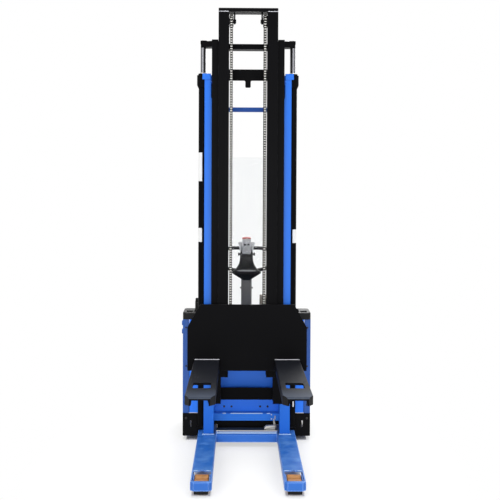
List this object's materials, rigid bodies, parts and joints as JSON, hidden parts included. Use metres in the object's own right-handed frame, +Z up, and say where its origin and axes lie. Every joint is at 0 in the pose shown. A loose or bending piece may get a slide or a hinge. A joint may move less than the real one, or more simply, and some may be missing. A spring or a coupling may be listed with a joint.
{
  "type": "electric stacker",
  "caption": "Pedestrian electric stacker: forks on a raised telescoping mast over straddle legs, with covered drive unit, casters and steering tiller.",
  "frame": {"origin": "on the floor, below the middle of the machine's length and width", "axes": "+Z up, forks point to -Y, +X to the right seen from the forks"},
  "size_m": [0.86, 2, 2.851],
  "materials": {
    "blue_paint": "satin powder coat",
    "black_paint": "satin black paint",
    "fork_paint": "black paint, worn grey by pallets",
    "bare_steel": "machined steel",
    "chrome_rod": "hard chrome",
    "chain_steel": "oiled chain steel",
    "frame_paint": "blue primer and paint",
    "guard_sheet": "clear sheet",
    "black_plastic": "grained black moulding",
    "blue_cover": "moulded cover",
    "grey_plastic": "light grey moulding",
    "grey_box": "grey-brown moulding",
    "battery": "plain block",
    "motor_cast": "painted casting",
    "polyurethane": "tan polyurethane tread",
    "drive_tyre": "polyurethane tread",
    "zinc": "zinc-plated steel"
  },
  "bodies": {
    "chassis": {"base_frame": "frame_paint", "leg_right": "blue_paint", "leg_left": "blue_paint", "leg_axles": "bare_steel", "cross_member": "blue_paint", "gap_plate": "bare_steel", "outer_mast_channels": "blue_paint", "outer_mast_ties": "blue_paint", "cylinder_barrels": "black_paint", "mast_guard": "guard_sheet", "front_bulkhead": "blue_paint", "side_covers": "blue_cover", "top_tray": "black_plastic", "document_bin": "black_plastic", "meter_box": "grey_box", "rear_hood": "blue_cover", "skirts": "black_plastic", "bumper": "black_paint", "battery_block": "battery"},
    "mid_stage": {"mid_mast_channels": "black_paint", "mid_mast_ties": "black_paint", "lift_rods": "chrome_rod"},
    "inner_stage": {"inner_mast_channels": "black_paint", "inner_mast_ties": "black_paint", "chain_pulleys": "bare_steel", "lift_chains": "chain_steel"},
    "carriage": {"backrest_plate": "black_paint", "carriage_frame": "black_paint", "carriage_rollers": "bare_steel", "fork_right": "fork_paint", "fork_left": "fork_paint"},
    "drive_turret": {"drive_unit": "motor_cast", "steering_column": "motor_cast"},
    "tiller": {"tiller_arm": "grey_box", "tiller_head": "black_plastic", "tiller_controls": "grey_plastic"},
    "drive_wheel": {"drive_wheel": "drive_tyre"},
    "caster_left": {"caster_fork_left": "zinc"},
    "caster_wheel_left": {"caster_wheel_left": "polyurethane"},
    "load_roller_left_front": {"load_roller_left_front": "polyurethane"},
    "load_roller_left_back": {"load_roller_left_back": "polyurethane"},
    "caster_right": {"caster_fork_right": "zinc"},
    "caster_wheel_right": {"caster_wheel_right": "polyurethane"},
    "load_roller_right_front": {"load_roller_right_front": "polyurethane"},
    "load_roller_right_back": {"load_roller_right_back": "polyurethane"}
  },
  "joints": [
    {"name": "mast_mid_slide", "type": "slide", "parent": "chassis", "child": "mid_stage", "axis": [0, 0, 1], "range_m": [-0.163, 1.587]},
    {"name": "mast_inner_slide", "type": "slide", "parent": "mid_stage", "child": "inner_stage", "axis": [0, 0, 1], "range_m": [-0.163, 1.587]},
    {"name": "carriage_slide", "type": "slide", "parent": "inner_stage", "child": "carriage", "axis": [0, 0, 1], "range_m": [-0.163, 1.587]},
    {"name": "steering", "type": "hinge", "parent": "chassis", "child": "drive_turret", "pos_m": [0, 0.857, 0.3], "axis": [0, 0, 1], "range_deg": [-90, 90]},
    {"name": "tiller_tilt", "type": "hinge", "parent": "drive_turret", "child": "tiller", "pos_m": [0, 0.907, 0.8], "axis": [-1, 0, 0], "range_deg": [0, 75], "stiffness_Nm_per_rad": 30, "springref_deg": -20.05},
    {"name": "drive_wheel_spin", "type": "hinge", "parent": "drive_turret", "child": "drive_wheel", "pos_m": [0, 0.857, 0.115], "axis": [1, 0, 0], "continuous": true},
    {"name": "caster_swivel_left", "type": "hinge", "parent": "chassis", "child": "caster_left", "pos_m": [-0.308, 0.812, 0.15], "axis": [0, 0, 1], "continuous": true},
    {"name": "caster_wheel_spin_left", "type": "hinge", "parent": "caster_left", "child": "caster_wheel_left", "pos_m": [-0.308, 0.85, 0.0625], "axis": [1, 0, 0], "continuous": true},
    {"name": "load_roller_spin_left_front", "type": "hinge", "parent": "chassis", "child": "load_roller_left_front", "pos_m": [-0.25975, -0.684, 0.038], "axis": [1, 0, 0], "continuous": true},
    {"name": "load_roller_spin_left_back", "type": "hinge", "parent": "chassis", "child": "load_roller_left_back", "pos_m": [-0.25975, -0.598, 0.038], "axis": [1, 0, 0], "continuous": true},
    {"name": "caster_swivel_right", "type": "hinge", "parent": "chassis", "child": "caster_right", "pos_m": [0.308, 0.812, 0.15], "axis": [0, 0, 1], "continuous": true},
    {"name": "caster_wheel_spin_right", "type": "hinge", "parent": "caster_right", "child": "caster_wheel_right", "pos_m": [0.308, 0.85, 0.0625], "axis": [1, 0, 0], "continuous": true},
    {"name": "load_roller_spin_right_front", "type": "hinge", "parent": "chassis", "child": "load_roller_right_front", "pos_m": [0.25975, -0.684, 0.038], "axis": [1, 0, 0], "continuous": true},
    {"name": "load_roller_spin_right_back", "type": "hinge", "parent": "chassis", "child": "load_roller_right_back", "pos_m": [0.25975, -0.598, 0.038], "axis": [1, 0, 0], "continuous": true}
  ],
  "couplings": [
    {"joint": "mast_inner_slide", "follows": "mast_mid_slide", "ratio": 1},
    {"joint": "carriage_slide", "follows": "mast_mid_slide", "ratio": 1}
  ]
}
